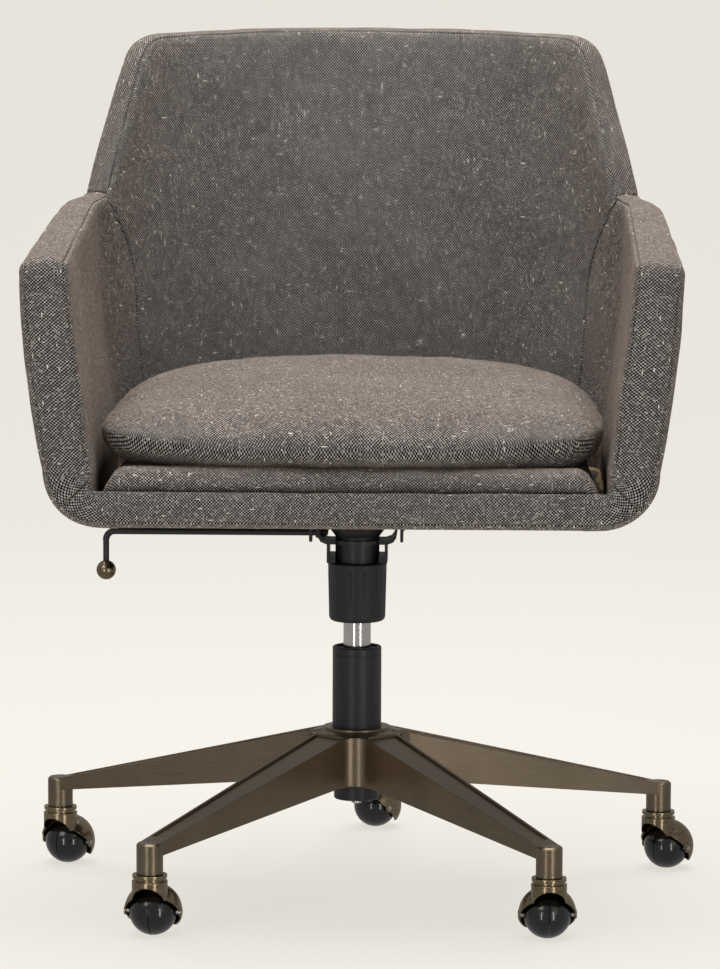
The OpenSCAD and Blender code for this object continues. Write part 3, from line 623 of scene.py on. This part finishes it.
def back_panel(name, s_edge, radius, inner):
    """Back panel between its two upright seams, built across the middle."""
    arc = radius * SEAM_TURN
    over = spaced(arc, 0.003, True, False)[:-1]
    half = S_HALF - s_edge
    run = spaced(2 * half, 0.008)
    side = np.where(run < half, -1, 1)
    s_top = np.where(run < half, s_edge + run, s_edge + 2 * half - run)
    v_top, n_s, n_v = rim_rounding(s_top, radius)
    v_main = v_top[None, :] + (CORNER_Z - v_top[None, :]) * np.linspace(0, 1, 50)[:, None]
    if inner:
        edge = seam_s(np.minimum(v_main, ARM_REAR_Z))
        s_main = S_HALF - (S_HALF - edge) * ((S_HALF - s_top) / half)[None, :]
    else:
        v_main = under_rows(v_main)
        s_main = np.repeat(s_top[None, :], len(v_main), 0)
    k = len(over)
    c_s = np.concatenate([np.repeat(s_top[None, :], k, 0), s_main])
    c_v = np.concatenate([np.repeat(v_top[None, :], k, 0), v_main])
    rho = np.concatenate([np.repeat((SEAM_TURN * (1 - over / arc))[:, None], len(run), 1), 0 * v_main])
    es = c_s + radius * np.sin(rho) * n_s[None, :]
    ev = c_v + radius * np.sin(rho) * n_v[None, :]
    depth = radius * (1 - np.cos(rho))
    if inner:
        depth = thickness(c_s, np.maximum(c_v, CORNER_Z)) - depth
    p = np.where((side > 0)[None, :, None], wall(es, ev, depth, 1), wall(es, ev, depth, -1))
    along = c_s + radius * rho * n_s[None, :]
    run_u = np.where(side[None, :] < 0, -(S_HALF - along), S_HALF - along)
    uv = np.stack([run_u, c_v + radius * rho * n_v[None, :]], -1)
    if inner:
        p, uv = hang_down(p, uv)
    out = (0, -1 if inner else 1, 0)
    p, uv = facing(p, uv, out)
    return grid_object(name, ripple(roll_in(p, "tlr"), 0.0013, 20, 7), uv, out)


def rail_under():
    """Underside of the front rail, from the band's lower seam back under the dust cover."""
    turn = np.linspace(SEAM_TURN, 0, 7)
    y = -FRONT + EDGE_R + np.concatenate([-EDGE_R * np.sin(turn), np.linspace(0.004, 0.03, 6)])
    z = np.concatenate([BOTTOM + EDGE_R - EDGE_R * np.cos(turn), np.full(6, BOTTOM)])
    half = plan(0.0)[0] + lean_x(CORNER_Z) - CORNER_R + 0.004
    x = np.linspace(-half, half, 60)
    p = np.stack(np.broadcast_arrays(x[None, :], y[:, None], z[:, None]), -1).astype(float)
    uv = grid_uv(x[None, :], edge_distance(p, 0, True))
    return grid_object("rail_under", roll_in(p, "t"), uv, (0, 0, -1))


wall_pieces = build_wall()
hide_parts("outer_cover")
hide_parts("back_pad")
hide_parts("arm_pad_left")
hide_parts("arm_pad_right")
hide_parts("rim_band")
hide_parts("front_band")


# ------------------------------------------------------------------ seat deck
def build_deck():
    """Padded platform that bulges over the front rail under the cushion."""
    half, tuck, floor = 0.240, 0.024, BOTTOM + 0.021
    wing = np.array([0.252, 0.266])
    x = np.concatenate([-wing[::-1], -half + spaced(2 * half, 0.008), wing])
    front = -FRONT + 0.002
    top = BOTTOM + 0.0585
    profile = [(0.008, BOTTOM + 0.034), (0.0025, BOTTOM + 0.0365), (0.0, BOTTOM + 0.042),
               (0.0005, BOTTOM + 0.0475), (0.004, BOTTOM + 0.0535), (0.011, BOTTOM + 0.0572), (0.022, top)]
    depth = high("deck_pad")[1] - front
    profile += [(d, top - 0.003) for d in np.linspace(0.045, depth, 24)]
    p = np.array([[(xx, front + d, z) for xx in x] for d, z in profile])
    side_in = np.clip((np.abs(p[..., 0]) - half + tuck) / tuck, 0, 1)
    fall = 1 - np.sqrt(np.maximum(0, 1 - side_in ** 2))
    p[..., 2] -= fall * (p[..., 2] - floor)
    p[..., 1] += 0.008 * fall
    p[..., 0] *= np.interp(p[..., 1], [-0.28, 0.05, depth + front], [1, 0.98, 0.7])
    uv = np.stack([p[..., 0], edge_distance(p, 0, True)], -1)
    p, uv = facing(p, uv, (0, 0, 1))
    deck = grid_object("seat_deck", ripple(p, 0.0012, 30, 11), uv, (0, 0, 1))
    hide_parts("deck_pad")


build_deck()

# ------------------------------------------------------------------ loose cushion
CUSHION_Y = -0.060         # middle of the cushion, front to back
CUSHION_W = 0.248          # half its width
CUSHION_D = 0.235          # half its depth
SEAM_Z = BOTTOM + 0.079
# Right half of the seam in plan, from the middle of the front to the middle of the rear
CUSHION_SEAM = np.array([(0, -0.288), (0.06, -0.2865), (0.12, -0.282), (0.18, -0.2725), (0.222, -0.259),
                         (0.242, -0.243), (0.2505, -0.218), (0.252, -0.17), (0.250, -0.09), (0.248, -0.02),
                         (0.244, 0.035), (0.232, 0.078), (0.210, 0.112), (0.178, 0.139), (0.13, 0.161),
                         (0.07, 0.175), (0, 0.180)])
SWELL_FRAMES, SWELL_CAP = 14, 0.006   # length of the cloth simulation and its largest move
seam_turn = np.unwrap(np.arctan2(CUSHION_SEAM[:, 1] - CUSHION_Y, CUSHION_SEAM[:, 0]))
seam_reach = np.hypot(CUSHION_SEAM[:, 0], CUSHION_SEAM[:, 1] - CUSHION_Y)


def cushion_outline(a, b):
    """Point in plan of the cushion for a point of the square -1..1 by -1..1."""
    m = np.maximum(np.abs(a), np.abs(b))
    turn = np.arctan2(b * CUSHION_D, np.abs(a) * CUSHION_W)
    reach = np.interp(turn, seam_turn, seam_reach) * m
    return np.where(a < 0, -1, 1) * reach * np.cos(turn), CUSHION_Y + reach * np.sin(turn), m


def swell(m):
    """Height of the cushion's face, 1 in the middle and 0 at the seam."""
    return 0.85 * np.sqrt(np.maximum(0, 1 - m ** 5)) + 0.15 * (1 - m ** 2)


def stretch(m, height):
    """Cloth length from the middle to a ring of the cushion, per length in plan."""
    ring = np.linspace(0, 1, 400)
    reach = 0.24 * ring
    run = path_length(np.stack([reach, height * swell(ring)], -1))
    return np.interp(m, ring[1:], run[1:] / reach[1:])


def build_cushion():
    """Loose cushion with an upper and an under face, sewn together along the seam."""
    count = 72
    t = np.linspace(-1, 1, count)
    t = np.sign(t) * (1 - (1 - np.abs(t)) ** 1.35)
    a, b = np.meshgrid(t, t)
    x, y, m = cushion_outline(a, b)
    seam = SEAM_Z - 0.003 + 0.011 * (x / CUSHION_W) ** 2 + 0.012 * np.clip((y + 0.28) / 0.45, 0, 1)
    crown = BOTTOM + 0.111 + 0.025 * np.clip((y + 0.25) / 0.32, 0, 1) - 0.006 * (x / CUSHION_W) ** 2
    dome = swell(m)
    pucker = np.array([noise.noise((px * 60, py * 60, 4)) for px, py in zip(x.flat, y.flat)]).reshape(x.shape)
    pinch = 1 - (0.007 + 0.004 * pucker) * np.exp(-((1 - m) / 0.018) ** 2)
    x, y = x * pinch, CUSHION_Y + (y - CUSHION_Y) * pinch
    floor = low("seat_cushion")[2]
    top = np.stack([x, y, seam + (crown - seam) * dome], -1)
    under = np.stack([x, y, seam - (seam - floor + 0.001) * np.maximum(0, 1 - m ** 10) ** 0.5], -1)
    uv = np.concatenate([(np.stack([x, y - CUSHION_Y], -1) * stretch(m, h)[..., None]).reshape(-1, 2)
                         for h in (0.034, 0.025)])
    index = np.arange(count * count).reshape(count, count)
    edge = np.zeros((count, count), bool)
    edge[0] = edge[-1] = edge[:, 0] = edge[:, -1] = True
    below = np.where(edge, index, index + count * count)
    keep = np.concatenate([np.ones(count * count, bool), ~edge.ravel()])
    verts = np.concatenate([top.reshape(-1, 3), under.reshape(-1, 3)])[keep]
    # The top's faces are listed the other way round, so that both faces look outward
    quads_top = np.roll(grid_quads(index)[:, ::-1], 1, axis=1)
    quads = (np.cumsum(keep) - 1)[np.concatenate([quads_top, grid_quads(below)])]
    quads_uv = np.concatenate([quads_top, grid_quads(index + count * count)])
    obj = cloth_object("seat_cushion_cover", verts, quads, uv[quads_uv.ravel()])
    inflate(obj, SWELL_FRAMES, SWELL_CAP)
    settle(obj)
    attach(obj, "seat")
    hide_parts("seat_cushion")


def points_of(mesh):
    co = np.empty(len(mesh.vertices) * 3)
    mesh.vertices.foreach_get("co", co)
    return co.reshape(-1, 3)


def put_points(mesh, co):
    mesh.vertices.foreach_set("co", co.ravel())
    mesh.update()


def inflate(obj, frames, cap):
    """Swells the cushion with a pressurised cloth simulation and keeps the result."""
    before = points_of(obj.data)
    cloth_mod = obj.modifiers.new("cloth", "CLOTH")
    settings = cloth_mod.settings
    settings.quality = 5
    settings.mass = 0.3
    settings.tension_stiffness = settings.compression_stiffness = 25
    settings.shear_stiffness = 12
    settings.bending_stiffness = 0.6
    settings.use_pressure = True
    settings.uniform_pressure_force = 3.0
    settings.effector_weights.gravity = 0
    cloth_mod.point_cache.frame_start = 1
    cloth_mod.point_cache.frame_end = frames
    scene = bpy.context.scene
    for f in range(1, frames + 1):
        scene.frame_set(f)
    swollen = obj.evaluated_get(bpy.context.evaluated_depsgraph_get())
    after = points_of(swollen.to_mesh())
    swollen.to_mesh_clear()
    obj.modifiers.remove(cloth_mod)
    move = after - before
    size = np.linalg.norm(move, axis=1, keepdims=True)
    move *= np.minimum(1, cap / np.maximum(size, 1e-9))
    put_points(obj.data, before + move)
    scene.frame_set(1)


def settle(obj):
    """Rests the cushion on the deck and gives its face the unevenness of used foam."""
    co = points_of(obj.data)
    floor = low("seat_cushion")[2]
    under = floor - co[:, 2]
    co[:, 2] = np.where(under > -0.004, floor + 0.004 * np.exp(-(under + 0.004) / 0.004), co[:, 2])
    for i, q in enumerate(co):
        rise = noise.noise((q * 16).tolist()) * 0.0016 + noise.noise((q * 45).tolist()) * 0.0006
        co[i, 2] += rise if q[2] > SEAM_Z + 0.01 else 0
    put_points(obj.data, co)


build_cushion()


# ------------------------------------------------------------------ camera, light, floor
def build_camera():
    """Long lens from the front, a little above the seat."""
    azimuth, pitch, roll = math.radians(1.46), math.radians(6.322), math.radians(0.218)
    distance, height = 4.734, 0.940
    data = bpy.data.cameras.new("camera")
    data.lens = 173.56
    data.sensor_width = 36
    camera = linked("camera", data)
    place = Matrix.Translation((distance * math.sin(azimuth), -distance * math.cos(azimuth), height))
    turn = (Matrix.Rotation(azimuth - 0.0005, 4, "Z") @ Matrix.Rotation(math.pi / 2 - pitch, 4, "X")
            @ Matrix.Rotation(roll, 4, "Z"))
    camera.matrix_world = place @ turn
    bpy.context.scene.camera = camera


def area_light(name, place, target, size, power, colour):
    """Rectangular soft light that looks from one point at another."""
    data = bpy.data.lights.new(name, "AREA")
    data.shape = "RECTANGLE"
    data.size, data.size_y = size
    data.energy = power
    data.color = colour
    lamp = linked(name, data)
    lamp.location = place
    lamp.rotation_euler = (Vector(target) - Vector(place)).to_track_quat("-Z", "Y").to_euler()


PAPER_GLOW = 0.77          # the floor's own light, which hides its falloff


def build_stage():
    """Pale sweep of paper, flat under the chair and curving up behind it."""
    size, rise = 14.0, 10.0
    mesh = bpy.data.meshes.new("floor")
    profile = [(-size, 0)] + [(3.0 + 2.5 * math.sin(t), 2.5 - 2.5 * math.cos(t))
                              for t in np.linspace(0, math.pi / 2, 12)] + [(5.5, rise)]
    verts = [(x, y, z) for y, z in profile for x in (-size, size)]
    quads = [(2 * i, 2 * i + 1, 2 * i + 3, 2 * i + 2) for i in range(len(profile) - 1)]
    mesh.from_pydata(verts, [], quads)
    mesh.polygons.foreach_set("use_smooth", np.ones(len(mesh.polygons), bool))
    m = Nodes("paper")
    place = m.add("TexCoord").outputs["Object"]
    soft = m.noise(place, 1.5, 2.0)
    tint = m.ramp(soft.outputs["Fac"], [(0.3, (0.178, 0.173, 0.163)), (0.7, (0.182, 0.177, 0.167))])
    m.set(Base_Color=tint.outputs[0], Roughness=0.95, Emission_Color=(0.90, 0.868, 0.800, 1),
          Emission_Strength=PAPER_GLOW, Specular_IOR_Level=0.0)
    mesh.materials.append(m.mat)
    floor = linked("floor", mesh)
    floor.visible_glossy = False


def build_light():
    """Dim even world, brighter in reflections, with a large top light and low strips for the metal."""
    world = bpy.data.worlds.new("world")
    world.use_nodes = True
    tree = world.node_tree
    back = tree.nodes["Background"]
    back.inputs[0].default_value = (1.0, 0.975, 0.94, 1)
    path = tree.nodes.new("ShaderNodeLightPath")
    level = tree.nodes.new("ShaderNodeMapRange")
    level.inputs["To Min"].default_value = 0.13
    level.inputs["To Max"].default_value = 0.34
    tree.links.new(path.outputs["Is Glossy Ray"], level.inputs["Value"])
    tree.links.new(level.outputs[0], back.inputs[1])
    bpy.context.scene.world = world
    area_light("key", (-2.4, -3.2, 3.6), (0, 0, 0.5), (2.2, 2.2), 34, (1, 0.98, 0.95))
    area_light("fill", (3.0, -3.4, 1.8), (0, 0, 0.5), (2.0, 2.6), 6, (1, 0.98, 0.96))
    area_light("top", (0, 0.2, 3.6), (0, 0, 0.4), (2.8, 2.8), 165, (1, 0.99, 0.97))
    area_light("strip_left", (-1.3, -3.0, 0.1), (0, 0, 0.1), (0.22, 1.9), 10, (1, 0.98, 0.95))
    area_light("strip_right", (1.5, -2.6, 0.1), (0, 0, 0.1), (0.3, 1.9), 10, (1, 0.98, 0.95))
    bpy.context.scene.view_settings.view_transform = "Standard"


build_stage()
build_camera()
build_light()
